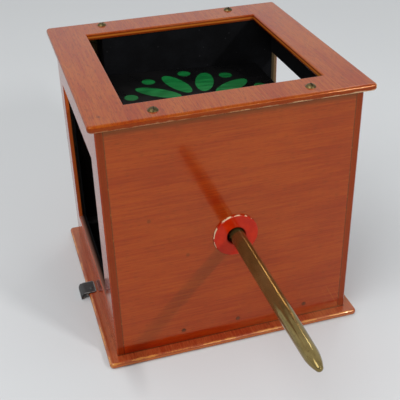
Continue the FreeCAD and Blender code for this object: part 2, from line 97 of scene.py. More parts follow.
class Graph:
    """A shader node tree, with short calls for the nodes that the finishes use."""

    def __init__(self, tree: bpy.types.NodeTree) -> None:
        """Keep the tree that nodes are added to."""
        self.tree = tree

    def add(self, kind: str, inputs: dict[Any, Any] | None = None, **settings: Any) -> bpy.types.Node:
        """Add a node.

        Args:
            kind: Type name of the node.
            inputs: Values or sockets, by the name or number of the input that they feed.
            **settings: Properties of the node.

        Returns:
            The new node.
        """
        node = self.tree.nodes.new(kind)
        for name, value in settings.items():
            setattr(node, name, value)
        for key, value in (inputs or {}).items():
            self.feed(node.inputs[key], value)
        return node

    def feed(self, socket: Socket, value: Any) -> None:
        """Link a socket into an input, or set the input to a plain value.

        Args:
            socket: The input.
            value: Socket or value that feeds it.
        """
        if isinstance(value, Socket):
            self.tree.links.new(value, socket)
        else:
            socket.default_value = value

    def feed_named(self, sockets: Iterable[Socket], values: dict[str, Any]) -> None:
        """Feed inputs by their names, in lower case with underscores.

        Args:
            sockets: Inputs to choose from.
            values: Values or sockets, by name.
        """
        for socket in sockets:
            key = socket.name.lower().replace(" ", "_")
            if key in values:
                self.feed(socket, values[key])

    def math(self, operation: str, *values: Any) -> Socket:
        """Add a math node on numbers or sockets, and return its result."""
        return self.add("ShaderNodeMath", dict(enumerate(values)), operation=operation).outputs[0]

    def invert(self, value: Any) -> Socket:
        """Take a value from 1."""
        return self.math("SUBTRACT", 1.0, value)

    def vector(self, operation: str, *values: Any) -> Socket:
        """Add a vector math node and return its vector."""
        return self.add("ShaderNodeVectorMath", dict(enumerate(values)), operation=operation).outputs[0]

    def split(self, value: Socket) -> list[Socket]:
        """Split a vector into its three numbers."""
        return list(self.add("ShaderNodeSeparateXYZ", {"Vector": value}).outputs)

    def away(self, place: Socket, centre: Any) -> Socket:
        """Measure how far a position is from a centre, along each axis."""
        return self.vector("ABSOLUTE", self.vector("SUBTRACT", place, centre))

    def radius(self, place: Socket, centre: Triple) -> Socket:
        """Measure the distance of a position from the line along Y through a centre."""
        flat = self.vector("MULTIPLY", self.vector("SUBTRACT", place, centre), (1.0, 0.0, 1.0))
        return self.add("ShaderNodeVectorMath", {0: flat}, operation="LENGTH").outputs["Value"]

    def turned(self, place: Socket, turn: Triple, shift: Triple) -> Socket:
        """Turn and shift the position that a pattern is read at."""
        inputs = {"Vector": place, "Location": shift, "Rotation": turn}
        return self.add("ShaderNodeMapping", inputs).outputs[0]

    def ramp(self, value: Any, low: Any, high: Any, start: float = 0.0, end: float = 1.0) -> Socket:
        """Ease a value from one range into another.

        Args:
            value: Number or socket to ease.
            low: Value that gives the start.
            high: Value that gives the end.
            start: Result at or below low.
            end: Result at or above high.

        Returns:
            The eased value.
        """
        inputs = {"Value": value, "From Min": low, "From Max": high, "To Min": start, "To Max": end}
        return self.add("ShaderNodeMapRange", inputs, interpolation_type="SMOOTHSTEP").outputs["Result"]

    def mix(self, share: Any, first: Any, second: Any) -> Socket:
        """Mix two colours by a share."""
        return self.add("ShaderNodeMix", {0: share, 6: first, 7: second}, data_type="RGBA").outputs[2]

    def noise(self, place: Socket, waves: float | Triple, detail: float = 3.0, rough: float = 0.55,
              warp: float = 0.0) -> Socket:
        """Add noise, which may be stretched differently along each axis.

        Args:
            place: Position to read the noise at.
            waves: Waves per metre, along all axes or along each.
            detail: Number of finer layers.
            rough: Strength of the finer layers.
            warp: Distortion.

        Returns:
            The noise, about 0.5 on average.
        """
        scaled = self.vector("MULTIPLY", place, (waves,) * 3 if isinstance(waves, float) else waves)
        inputs = {"Vector": scaled, "Scale": 1.0, "Detail": detail, "Roughness": rough, "Distortion": warp}
        return self.add("ShaderNodeTexNoise", inputs).outputs[0]

    def group(self, tree: bpy.types.NodeTree, **inputs: Any) -> bpy.types.Node:
        """Place a node group.

        Args:
            tree: The group.
            **inputs: Values or sockets, by the input's name in lower case.

        Returns:
            The new node.
        """
        node = self.add("ShaderNodeGroup", node_tree=tree)
        self.feed_named(node.inputs, inputs)
        return node


FLOAT = "NodeSocketFloat"
VECTOR = "NodeSocketVector"
ORIGIN = (0.0, 0.0, 0.0)


@dataclass
class Effect:
    """A shared shader effect, kept as one node group.

    Attributes:
        name: Name of the group.
        inputs: Its inputs with their usual values.
        outputs: Names of the values that it gives.
        draw: Function that draws its nodes.
        tree: The group itself.
    """

    name: str
    inputs: dict[str, float | Triple]
    outputs: tuple[str, ...]
    draw: Callable[[Graph, dict[str, Socket]], dict[str, Socket]]
    tree: bpy.types.NodeTree = field(init=False)

    def __post_init__(self) -> None:
        """Build the group's sockets and nodes."""
        self.tree = bpy.data.node_groups.new(self.name, "ShaderNodeTree")
        for name, usual in self.inputs.items():
            kind = FLOAT if isinstance(usual, float) else VECTOR
            socket = self.tree.interface.new_socket(name=name, in_out="INPUT", socket_type=kind)
            socket.default_value = usual
        for name in self.outputs:
            self.tree.interface.new_socket(name=name, in_out="OUTPUT", socket_type=FLOAT)
        graph = Graph(self.tree)
        given = graph.add("NodeGroupInput")
        results = self.draw(graph, {name: given.outputs[name] for name in self.inputs})
        graph.add("NodeGroupOutput", results)


def draw_grain(graph: Graph, given: dict[str, Socket]) -> dict[str, Socket]:
    """Draw wood grain along X: broad bands, fine streaks and short open pores.

    Args:
        graph: Graph of the group.
        given: Its inputs, by name.

    Returns:
        Its outputs, by name.
    """
    place = given["Place"]
    broad = graph.noise(place, (14.0, 60.0, 60.0), detail=4.0)
    streak = graph.noise(place, (24.0, 700.0, 700.0), rough=0.6)
    fine = graph.noise(place, (40.0, 1500.0, 1500.0), detail=2.0)
    coarse = graph.math("MULTIPLY_ADD", broad, 0.40, graph.math("MULTIPLY", streak, 0.40))
    figure = graph.ramp(graph.math("MULTIPLY_ADD", fine, 0.25, coarse), 0.38, 0.67)
    pore = graph.ramp(graph.noise(place, (210.0, 2200.0, 2200.0), detail=1.0), 0.54, 0.66)
    return {"Figure": figure, "Pore": pore}


def draw_edge_wear(graph: Graph, given: dict[str, Socket]) -> dict[str, Socket]:
    """Draw rubbed edges of a box: the middle of the three distances to its sides is the edge's.

    Args:
        graph: Graph of the group.
        given: Its inputs, by name.

    Returns:
        Its outputs, by name.
    """
    place, reach = given["Place"], given["Reach"]
    gaps = graph.split(graph.vector("SUBTRACT", given["Half"], graph.away(place, given["Centre"])))
    low = graph.math("MINIMUM", graph.math("MINIMUM", gaps[0], gaps[1]), gaps[2])
    high = graph.math("MAXIMUM", graph.math("MAXIMUM", gaps[0], gaps[1]), gaps[2])
    total = graph.math("ADD", graph.math("ADD", gaps[0], gaps[1]), gaps[2])
    edge = graph.math("SUBTRACT", graph.math("SUBTRACT", total, low), high)
    patch = graph.noise(place, 55.0, detail=4.0, rough=0.6)
    crumb = graph.noise(place, 900.0, detail=2.0)
    rub = graph.math("MULTIPLY", reach, graph.ramp(patch, 0.38, 0.66, 0.3, 1.0))
    ragged = graph.math("MULTIPLY", rub, graph.math("ADD", crumb, 0.5))
    wear = graph.invert(graph.ramp(edge, graph.math("MULTIPLY", ragged, 0.55), ragged))
    bare = graph.ramp(graph.math("ADD", patch, given["Spread"]), 0.44, 0.52)
    return {"Wear": graph.math("MULTIPLY", wear, bare)}


# Slant of each set of scratches, and the patches per metre that it shows in
SCRATCH_SETS = ((1.35, 26.0), (2.05, 19.0))


def draw_scratches(graph: Graph, given: dict[str, Socket]) -> dict[str, Socket]:
    """Draw thin scratches on a board that lies flat, in two slanting directions, only here and there.

    Args:
        graph: Graph of the group.
        given: Its inputs, by name.

    Returns:
        Its outputs, by name.
    """
    place = given["Place"]
    masks = []
    for slant, patches in SCRATCH_SETS:
        inputs = {"Vector": place, "Angle": slant}
        turned = graph.add("ShaderNodeVectorRotate", inputs, rotation_type="Z_AXIS").outputs[0]
        line = graph.ramp(graph.noise(turned, (20.0, 1000.0, 0.0), detail=0.0), 0.76, 0.80)
        where = graph.ramp(graph.noise(place, (patches, patches, 0.0), detail=2.0), 0.60, 0.70)
        masks.append(graph.math("MULTIPLY", line, where))
    return {"Scratch": graph.math("MAXIMUM", *masks)}


def draw_specks(graph: Graph, given: dict[str, Socket]) -> dict[str, Socket]:
    """Draw scattered specks, such as lint or dust, in a share of the cells.

    Args:
        graph: Graph of the group.
        given: Its inputs, by name.

    Returns:
        Its outputs, by name.
    """
    scaled = graph.vector("SCALE", given["Place"])
    graph.feed(scaled.node.inputs["Scale"], given["Density"])
    cells = graph.add("ShaderNodeTexVoronoi", {"Vector": scaled, "Scale": 1.0})
    chosen = graph.math("LESS_THAN", graph.split(cells.outputs["Color"])[0], given["Share"])
    dot = graph.invert(graph.ramp(cells.outputs["Distance"], 0.10, 0.22))
    return {"Speck": graph.math("MULTIPLY", dot, chosen)}


def draw_smudges(graph: Graph, given: dict[str, Socket]) -> dict[str, Socket]:
    """Draw the uneven gloss of a handled surface.

    Args:
        graph: Graph of the group.
        given: Its inputs, by name.

    Returns:
        Its outputs, by name.
    """
    wide = graph.noise(given["Place"], 22.0, rough=0.5, warp=0.4)
    close = graph.noise(given["Place"], 160.0, detail=2.0)
    return {"Smudge": graph.ramp(graph.math("MULTIPLY_ADD", close, 0.3, wide), 0.45, 0.95)}


GRAIN = Effect("wood_grain", {"Place": ORIGIN}, ("Figure", "Pore"), draw_grain)
EDGE_WEAR = Effect(
    "edge_wear",
    {"Place": ORIGIN, "Centre": ORIGIN, "Half": ORIGIN, "Reach": 1.0 * MM, "Spread": 0.0},
    ("Wear",),
    draw_edge_wear,
)
SCRATCHES = Effect("scratches", {"Place": ORIGIN}, ("Scratch",), draw_scratches)
SPECKS = Effect("specks", {"Place": ORIGIN, "Density": 300.0, "Share": 0.2}, ("Speck",), draw_specks)
SMUDGES = Effect("smudges", {"Place": ORIGIN}, ("Smudge",), draw_smudges)


class Paint:
    """A material in the making: its graph, position, shader and the colour laid so far."""

    def __init__(self, name: str, **constants: Any) -> None:
        """Start a material whose even values are set on the shader itself.

        Args:
            name: Name of the material.
            **constants: Shader inputs, by name in lower case with underscores.
        """
        self.material = bpy.data.materials.new(name)
        self.material.use_nodes = True
        self.graph = Graph(self.material.node_tree)
        self.shader = self.material.node_tree.nodes["Principled BSDF"]
        self.graph.feed_named(self.shader.inputs, constants)
        self.place = self.graph.add("ShaderNodeTexCoord").outputs["Object"]
        self.colour: Any = None

    def mask(self, effect: Effect, place: Socket | None = None, **inputs: Any) -> Socket:
        """Place a shared effect.

        Args:
            effect: The effect.
            place: Position to read it at, if not the material's own.
            **inputs: Its other inputs, by name in lower case.

        Returns:
            Its first value.
        """
        node = self.graph.group(effect.tree, place=self.place if place is None else place, **inputs)
        return node.outputs[0]

    def lay(self, colour: Any, mask: Any, share: float = 1.0) -> None:
        """Lay a colour over what is there.

        Args:
            colour: Colour to lay.
            mask: Where it lies, from 0 to 1.
            share: How far it covers there.
        """
        cover = mask if share == 1.0 else self.graph.math("MULTIPLY", mask, share)
        self.colour = self.graph.mix(cover, self.colour, colour)

    def link(self, **sockets: Socket) -> None:
        """Feed the shader's inputs, named in lower case with underscores."""
        self.graph.feed_named(self.shader.inputs, sockets)

    def bump(self, height: Socket, depth: float, strength: float) -> None:
        """Raise the surface by a height map.

        Args:
            height: Height, from 0 to 1.
            depth: Metres that a height of 1 stands up by.
            strength: Share of the effect.
        """
        node = self.graph.add("ShaderNodeBump", {"Height": height, "Distance": depth, "Strength": strength})
        self.link(normal=node.outputs["Normal"])

    def finish(self, **sockets: Socket) -> bpy.types.Material:
        """Feed the laid colour and other sockets to the shader, and return the material."""
        self.link(base_color=self.colour, **sockets)
        return self.material


def node_frame(node: str) -> tuple[Vector, Vector]:
    """Find a CAD node's middle and half size."""
    low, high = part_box(node)
    return (low + high) / 2, (high - low) / 2


def pin_places(gap: float) -> list[float]:
    """Find where the panel pins stand along the front.

    Args:
        gap: Space that parts one pin's points from the next pin's.

    Returns:
        The middle of each pin across the front.
    """
    points = sorted(vertex.co.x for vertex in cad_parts["panel_pins"].data.vertices)
    pins = [[points[0]]]
    for point in points[1:]:
        if point - pins[-1][-1] > gap:
            pins.append([])
        pins[-1].append(point)
    return [(pin[0] + pin[-1]) / 2 for pin in pins]


@dataclass(frozen=True)
class Board:
    """How one board is cut and worn, and where shade and highlights are painted on it.

    Attributes:
        grain: Way that its grain runs.
        sheet: Axis of its thickness.
        drift: Shift of the figure, so that boards differ.
        edge: Colour of its cut edges.
        core: Painted highlight in its cut edges, laid as a light middle ply, where that shows.
        ply_highlight_within: How far in from its outer edges that painted highlight begins to show.
        fade: How far its faces are faded.
        faded: Colour that they fade to.
        pores: Strength of its open pores.
        rub: Width of the rubbing along its edges.
        spread: How far the rubbing spreads along them.
        rub_and_glint_below: Whether only its lower edges are rubbed, and those most at the right, as rubbing
            that is partly a painted glint.
        bare: Colour of the wood where its edges are rubbed, which on the top is partly a painted glint.
        foot: Width of the painted shade along the foot of the walls on it.
        eave: Depth of the shade under the top's overhang on it.
        pin_ring: Radius of the dark stopping round each panel pin in it.
        seam: Width of the dark glue line at its left and right ends.
        ior: Index of refraction of its varnish, lower where that is worn thin.
        tint: Tint of the reflections in its varnish.
        shaded_inside: Whether its inner face is darkened near black as painted shade.
        window: Colour of the cut edges of its window, before the black that laps over them, lightened on the
            left panel as painted light.
    """

    grain: Grain
    sheet: Sheet
    drift: float
    edge: Colour = srgb(112, 31, 7)
    core: Colour | None = None
    ply_highlight_within: float = 0.0
    fade: float = 0.0
    faded: Colour = srgb(166, 95, 28)
    pores: float = 0.3
    rub: float = 0.0
    spread: float = 0.0
    rub_and_glint_below: bool = False
    bare: Colour = srgb(190, 128, 56)
    foot: float = 0.0
    eave: float = 0.0
    pin_ring: float = 0.0
    seam: float = 0.0
    ior: float = 1.5
    tint: Colour = (1.0, 0.66, 0.28, 1.0)
    shaded_inside: bool = False
    window: Colour | None = None


@dataclass(frozen=True)
class Varnish:
    """Glossy red-brown varnish on plywood, with the marks of its age and some painted shade and highlights.

    The colours come first, then how far each layer covers what is under it, then sizes and gloss.

    Attributes:
        knock_density: Cells per metre that may hold a knock.
        knock_cells: Share of those cells that do.
        fleck_waves: Flecks per metre along a seam.
        drift_shares: How much of a board's drift goes along each axis.
        glue_at: Depth of the glue lines from the middle of a board, in halves of its thickness.
        glue_width: Half width of the glue lines, in the same unit.
        ply_highlight_reach: Depths at which the painted highlight of the middle ply starts to fade and is
            gone, in the same unit.
        lap: How far inside a jamb's middle the black on it begins to thin, in the same unit.
        sill_glint_from: How far inside a jamb's middle the painted light on a sill begins, in the same unit.
        right_glint: Where the painted glint that favours the right begins and is full, in halves of the
            board's width.
        left_glint: Share of that painted glint at the left.
        stile: Least width of the board beside a window.
        gloss: Roughness of clean and smudged varnish.
        coat: Strength of the top coat's sheen on sound and rubbed wood.
    """

    light: Colour = srgb(155, 52, 7)
    dark: Colour = srgb(134, 23, 2)
    pore: Colour = srgb(88, 22, 3)
    scratched: Colour = srgb(190, 128, 56)
    # Dark dirt in knocks, glue lines, seams and pin stopping, and also the painted shade along the foot of
    # the walls.
    grime_and_shade: Colour = srgb(40, 14, 8)
    eave_shade: Colour = srgb(56, 9, 2)
    # Black that is real paint where it laps the jambs, and painted shade on a panel's inner face and on the
    # inner part of the sills.
    black_stain: Colour = srgb(16, 14, 13)
    # Painted light: the pale glint on the outer edge of a window sill.
    sill_glint: Colour = srgb(156, 108, 94)
    scratch_share: float = 0.13
    knock_share: float = 0.4
    glue_share: float = 0.3
    ply_highlight_share: float = 0.7
    cut_share: float = 0.7
    seam_share: float = 0.7
    fleck_share: float = 0.2
    eave_share: float = 0.5
    foot_share: float = 0.75
    pin_share: float = 0.7
    jamb_share: float = 0.9
    wear_share: float = 0.45
    knock_density: float = 120.0
    knock_cells: float = 0.02
    fleck_waves: float = 260.0
    drift_shares: Triple = (1.0, 0.7, 0.4)
    glue_at: float = 0.36
    glue_width: float = 0.05
    ply_highlight_reach: tuple[float, float] = (0.1, 0.4)
    lap: float = 0.3
    sill_glint_from: float = 0.8
    right_glint: tuple[float, float] = (-0.5, 0.4)
    left_glint: float = 0.35
    stile: float = 5 * MM
    dent_depth: float = 0.03 * MM
    dent_strength: float = 0.4
    gloss: tuple[float, float] = (0.09, 0.14)
    coat: tuple[float, float] = (0.1, 0.7)
    coat_ior: float = 1.3
    coat_roughness: float = 0.08

    def material(self, node: str, board: Board) -> bpy.types.Material:
        """Make the finish of one board.

        Args:
            node: CAD node that it is for.
            board: How that board is cut and worn.

        Returns:
            The material.
        """
        paint = BoardPaint(self, node, board)
        paint.lay_grain()
        paint.lay_plies()
        for wanted, lay in (
            (board.seam, paint.lay_seams),
            (board.eave, paint.lay_eave),
            (board.foot, paint.lay_foot),
            (board.pin_ring, paint.lay_pin_rings),
            (board.shaded_inside, paint.lay_inner_shade),
            (board.window, paint.lay_window),
            (board.rub, paint.lay_wear),
        ):
            if wanted:
                lay()
        return paint.finish(roughness=paint.graph.ramp(paint.mask(SMUDGES), 0.0, 1.0, *self.gloss))


class BoardPaint(Paint):
    """The varnish of one board in the making, with the measures that its layers share."""

    def __init__(self, look: Varnish, node: str, board: Board) -> None:
        """Start the varnish of a board.

        Args:
            look: Colours and sizes of the varnish.
            node: CAD node that it is for.
            board: How that board is cut and worn.
        """
        super().__init__(
            f"varnish_{node}", ior=board.ior, specular_ior_level=1.0, specular_tint=board.tint,
            coat_weight=look.coat[0], coat_roughness=look.coat_roughness, coat_ior=look.coat_ior,
        )
        graph = self.graph
        self.look = look
        self.board = board
        self.centre, self.half = node_frame(node)
        self.axes = graph.split(self.place)
        self.away = graph.split(graph.away(self.place, tuple(self.centre)))
        self.normals = graph.split(graph.add("ShaderNodeNewGeometry").outputs["True Normal"])
        flat = graph.math("ABSOLUTE", self.normals[board.sheet.axis])
        self.cut = graph.invert(graph.ramp(flat, 0.25, 0.55))

    def lay_grain(self) -> None:
        """Lay the grain of the faces, with their scratches and knocks, and sink the pores and scratches."""
        graph, look, board = self.graph, self.look, self.board
        shift = tuple(board.drift * share for share in look.drift_shares)
        grain = graph.group(GRAIN.tree, place=graph.turned(self.place, board.grain.value, shift))
        flat = graph.turned(self.place, board.sheet.turn, ORIGIN)
        figure, pore = grain.outputs["Figure"], grain.outputs["Pore"]
        self.colour = graph.mix(figure, look.dark, look.light)
        if board.fade:
            self.lay(board.faded, graph.math("MULTIPLY_ADD", figure, board.fade, 0.5 * board.fade))
        self.lay(look.pore, pore, board.pores)
        scratch = self.mask(SCRATCHES, flat)
        self.lay(look.scratched, scratch, look.scratch_share)
        knock = self.mask(SPECKS, flat, density=look.knock_density, share=look.knock_cells)
        self.lay(look.grime_and_shade, knock, look.knock_share)
        dents = graph.math("MAXIMUM", pore, scratch)
        self.bump(graph.invert(dents), look.dent_depth, look.dent_strength)

    def lay_plies(self) -> None:
        """Lay the plies that show in the cut edges, with their glue lines and a light middle ply that is a
        painted highlight.
        """
        graph, look, board = self.graph, self.look, self.board
        depth, thick = self.away[board.sheet.axis], self.half[board.sheet.axis]
        glue = graph.math("COMPARE", depth, look.glue_at * thick, look.glue_width * thick)
        plies = graph.mix(graph.math("MULTIPLY", glue, look.glue_share), board.edge, look.grime_and_shade)
        # The light middle ply stands in for the highlight on the rounded cut edges, as a painted highlight.
        if board.core:
            near, far = look.ply_highlight_reach
            core = graph.ramp(depth, near * thick, far * thick, look.ply_highlight_share, 0.0)
            if board.ply_highlight_within:
                gaps = [graph.math("SUBTRACT", self.half[axis], self.away[axis]) for axis in (0, 1)]
                inner = graph.math("GREATER_THAN", graph.math("MINIMUM", *gaps), board.ply_highlight_within)
                core = graph.math("MULTIPLY", core, inner)
            plies = graph.mix(core, plies, board.core)
        self.lay(plies, self.cut, look.cut_share)

    def lay_seams(self) -> None:
        """Lay the dark glue lines at a panel's ends, with a few pale flecks in them."""
        graph, look, end, width = self.graph, self.look, self.half.x, self.board.seam
        seam = graph.ramp(self.away[0], end - width, end - 0.2 * width)
        fleck = graph.ramp(graph.noise(self.place, (0.0, 0.0, look.fleck_waves), detail=4.0), 0.54, 0.64)
        self.lay(look.grime_and_shade, seam, look.seam_share)
        self.lay(look.scratched, graph.math("MULTIPLY", seam, fleck), look.fleck_share)

    def lay_eave(self) -> None:
        """Lay the shade under the top's overhang."""
        top, eave = self.centre.z + self.half.z, self.board.eave
        under = self.graph.ramp(self.axes[2], top - eave, top - 0.5 * eave, 0.0, self.look.eave_share)
        self.lay(self.look.eave_shade, under)

    def lay_foot(self) -> None:
        """Lay painted shade on the base along the foot of the front and back walls."""
        graph, width = self.graph, self.board.foot
        front, front_half = node_frame("front_panel")
        side, side_half = node_frame("left_window_panel")
        walls = (abs(side.x) + side_half.x, abs(front.y) + front_half.y, 0.0)
        gaps = graph.split(graph.vector("SUBTRACT", graph.vector("ABSOLUTE", self.place), walls))
        along = graph.math("LESS_THAN", gaps[0], 0.0)
        close = graph.ramp(gaps[1], 0.3 * width, width, self.look.foot_share, 0.0)
        self.lay(self.look.grime_and_shade, graph.math("MULTIPLY", along, close))

    def lay_pin_rings(self) -> None:
        """Lay the dark stopping round each panel pin."""
        graph, radius = self.graph, self.board.pin_ring
        height = node_frame("panel_pins")[0].z
        rings: Any = 0.0
        for across in pin_places(radius):
            gap = graph.radius(self.place, (across, 0.0, height))
            ring = graph.ramp(gap, 0.5 * radius, radius, self.look.pin_share, 0.0)
            rings = graph.math("MAXIMUM", rings, ring)
        self.lay(self.look.grime_and_shade, rings)

    def lay_inner_shade(self) -> None:
        """Darken a panel's inner face near black, as painted shade."""
        outward = self.graph.math("MULTIPLY", self.normals[1], math.copysign(1, self.centre.y))
        self.lay(self.look.black_stain, self.graph.math("LESS_THAN", outward, -0.5))

    def lay_window(self) -> None:
        """Lay the finish of a window's cut edges: black laps over the jambs, and the sill takes painted
        light, pale at its outer edge and shading into black inside.
        """
        graph, look = self.graph, self.look
        inside = graph.math("LESS_THAN", self.away[1], self.half.y - look.stile)
        jamb = graph.math("MULTIPLY", self.cut, inside)
        # On the left panel this jamb colour is painted light, lighter than the wood's own.
        self.lay(self.board.window, jamb, look.jamb_share)
        middle, half = abs(self.centre.x), self.half.x
        outward = graph.math("MULTIPLY", self.axes[0], math.copysign(1, self.centre.x))
        lap = graph.ramp(outward, middle - look.lap * half, middle, 1.0, 0.0)
        self.lay(look.black_stain, graph.math("MULTIPLY", jamb, lap))
        # The sill is painted light: a pale glint at its outer edge that fades into black as painted shade
        # toward the inside.
        sill = graph.math("MULTIPLY", jamb, graph.math("GREATER_THAN", self.normals[2], 0.5))
        dust_and_glint = graph.ramp(outward, middle - look.sill_glint_from * half, middle + half)
        self.lay(graph.mix(dust_and_glint, look.black_stain, look.sill_glint), sill)

    def lay_wear(self) -> None:
        """Lay the bare wood of the rubbed edges, which also take more sheen; on the top the pale lower edge,
        stronger at the right, is partly a painted glint.
        """
        graph, look, board, half = self.graph, self.look, self.board, self.half
        lift = Vector((0, 0, half.z)) if board.rub_and_glint_below else Vector()
        middle, reach = tuple(self.centre + lift), tuple(half + lift)
        wear = self.mask(EDGE_WEAR, centre=middle, half=reach, reach=board.rub, spread=board.spread)
        if board.rub_and_glint_below:
            # Favouring the right, where the light falls, makes this pale rubbing partly a painted glint.
            begin, full = look.right_glint
            rubbed = graph.ramp(self.axes[0], begin * half.x, full * half.x, look.left_glint, 1.0)
            wear = graph.math("MULTIPLY", wear, rubbed)
        self.lay(board.bare, wear, look.wear_share)
        self.link(coat_weight=graph.ramp(wear, 0.0, 1.0, *look.coat))


@dataclass(frozen=True)
class Flock:
    """Matte black flock with lint caught in it."""

    pile: Colour = srgb(21, 22, 25)
    hollow: Colour = srgb(9, 9, 11)
    lint: Colour = srgb(150, 150, 155)
    lint_density: float = 330.0
    lint_cells: float = 0.14
    lint_share: float = 0.06
    pile_depth: float = 0.3 * MM

    def material(self) -> bpy.types.Material:
        """Make the finish.

        Returns:
            The material.
        """
        paint = Paint("black_flock", roughness=0.95, specular_ior_level=0.1)
        graph = paint.graph
        fuzz = graph.noise(paint.place, 1500.0, detail=2.0)
        patch = graph.ramp(graph.noise(paint.place, 60.0, detail=4.0, rough=0.6), 0.3, 0.7)
        paint.colour = graph.mix(graph.math("MULTIPLY", fuzz, patch), self.hollow, self.pile)
        lint = paint.mask(SPECKS, density=self.lint_density, share=self.lint_cells)
        paint.lay(self.lint, lint, self.lint_share)
        paint.bump(fuzz, self.pile_depth, 0.8)
        return paint.finish()


@dataclass(frozen=True)
class GlossBlack:
    """Gloss black paint, dusty and rubbed grey at the edges."""

    paint: Colour = srgb(11, 11, 12)
    haze: Colour = srgb(34, 33, 33)
    rubbed: Colour = srgb(92, 90, 88)
    haze_share: float = 0.2
    dust_density: float = 260.0
    dust_cells: float = 0.12
    dust_share: float = 0.12
    wear_reach: float = 0.5 * MM
    wear_share: float = 0.3
    gloss: tuple[float, float] = (0.22, 0.40)
    scratch_gloss: float = 0.25
    brush_depth: float = 0.06 * MM

    def material(self, node: str) -> bpy.types.Material:
        """Make the finish for one wall of the block.

        Args:
            node: CAD node of the wall.

        Returns:
            The material.
        """
        paint = Paint(f"gloss_black_{node}", specular_ior_level=0.15, coat_weight=0.08, coat_roughness=0.12)
        graph = paint.graph
        centre, half = node_frame(node)
        smudge = paint.mask(SMUDGES)
        paint.colour = self.paint
        paint.lay(self.haze, smudge, self.haze_share)
        dust_and_glint = paint.mask(SPECKS, density=self.dust_density, share=self.dust_cells)
        paint.lay(self.rubbed, dust_and_glint, self.dust_share)
        wear = paint.mask(EDGE_WEAR, centre=tuple(centre), half=tuple(half), reach=self.wear_reach)
        paint.lay(self.rubbed, wear, self.wear_share)
        clean = graph.ramp(smudge, 0.0, 1.0, *self.gloss)
        rough = graph.math("MULTIPLY_ADD", paint.mask(SCRATCHES), self.scratch_gloss, clean)
        paint.bump(graph.noise(paint.place, (30.0, 420.0, 420.0)), self.brush_depth, 0.5)
        return paint.finish(roughness=rough)


@dataclass(frozen=True)
class GreenPaint:
    """Green signwriter's enamel, brushed by hand."""

    deep: Colour = srgb(8, 88, 40)
    thin: Colour = srgb(18, 120, 56)
    gloss: tuple[float, float] = (0.28, 0.42)
    brush_depth: float = 0.08 * MM

    def material(self) -> bpy.types.Material:
        """Make the finish.

        Returns:
            The material.
        """
        paint = Paint("green_enamel", specular_ior_level=0.5, coat_weight=0.5, coat_roughness=0.15)
        graph = paint.graph
        strokes = graph.noise(paint.place, (60.0, 320.0, 320.0))
        paint.colour = graph.mix(graph.ramp(strokes, 0.3, 0.7), self.deep, self.thin)
        paint.bump(strokes, self.brush_depth, 0.6)
        return paint.finish(roughness=graph.ramp(strokes, 0.3, 0.8, *self.gloss))


@dataclass(frozen=True)
class RedEnamel:
    """Gloss red enamel on a turned wooden bush, chipped to cream round its rim, with painted shade round its
    bore.

    Attributes:
        bore_shade_reach: Radii within which the painted shade round the bore is full and beyond which it is
            gone, as shares of the rim's.
        chip_rim: Distances in from the rim at which chips begin and are full.
        worn_side: Direction in which the rim is chipped.
        chip_gloss: Roughness that a chip adds.
    """

    red: Colour = srgb(188, 40, 4)
    deep: Colour = srgb(170, 28, 2)
    cream: Colour = srgb(226, 208, 172)
    grime_and_shade: Colour = srgb(52, 14, 10)
    bore_shade_share: float = 0.7
    bore_shade_reach: tuple[float, float] = (0.38, 0.50)
    chip_rim: tuple[float, float] = (0.30 * MM, 0.15 * MM)
    worn_side: Triple = (-0.6, 0.0, 0.8)
    gloss: tuple[float, float] = (0.18, 0.32)
    chip_gloss: float = 0.4
    chip_depth: float = 0.1 * MM

    def material(self, node: str) -> bpy.types.Material:
        """Make the finish for one bush.

        Args:
            node: CAD node of the bush.

        Returns:
            The material.
        """
        paint = Paint(
            f"red_enamel_{node}", specular_ior_level=0.05, coat_weight=0.6, coat_roughness=0.04, coat_ior=1.35
        )
        graph = paint.graph
        centre, half = node_frame(node)
        rim = half.x
        radius = graph.radius(paint.place, tuple(centre))
        patch = graph.noise(paint.place, 150.0, detail=4.0, rough=0.65)
        paint.colour = graph.mix(graph.ramp(patch, 0.3, 0.75), self.deep, self.red)
        full, gone = self.bore_shade_reach
        # Painted shade darkens the enamel round the bore.
        paint.lay(self.grime_and_shade, graph.invert(graph.ramp(radius, rim * full, rim * gone)), self.bore_shade_share)
        chips = self.chips(graph, graph.vector("SUBTRACT", paint.place, tuple(centre)), radius, rim, patch)
        paint.lay(self.cream, chips)
        enamel = graph.ramp(paint.mask(SMUDGES), 0.0, 1.0, *self.gloss)
        ripple = graph.math("MULTIPLY", patch, 0.25)
        paint.bump(graph.math("SUBTRACT", ripple, chips), self.chip_depth, 0.6)
        return paint.finish(roughness=graph.math("MULTIPLY_ADD", chips, self.chip_gloss, enamel))

    def chips(self, graph: Graph, local: Socket, radius: Socket, rim: float, patch: Socket) -> Socket:
        """Draw the chips on the worn side of the rim.

        Args:
            graph: Graph to draw in.
            local: Position from the bush's middle.
            radius: Distance from the bush's axis.
            rim: Radius of the rim.
            patch: Noise that chooses where the chips are.

        Returns:
            The mask.
        """
        begin, full = self.chip_rim
        on_rim = graph.ramp(radius, rim - begin, rim - full)
        chips = graph.math("MULTIPLY", on_rim, graph.ramp(patch, 0.42, 0.47))
        side = graph.add("ShaderNodeVectorMath", {0: local, 1: self.worn_side}, operation="DOT_PRODUCT")
        return graph.math("MULTIPLY", chips, graph.ramp(side.outputs["Value"], 0.0, rim * 0.3))


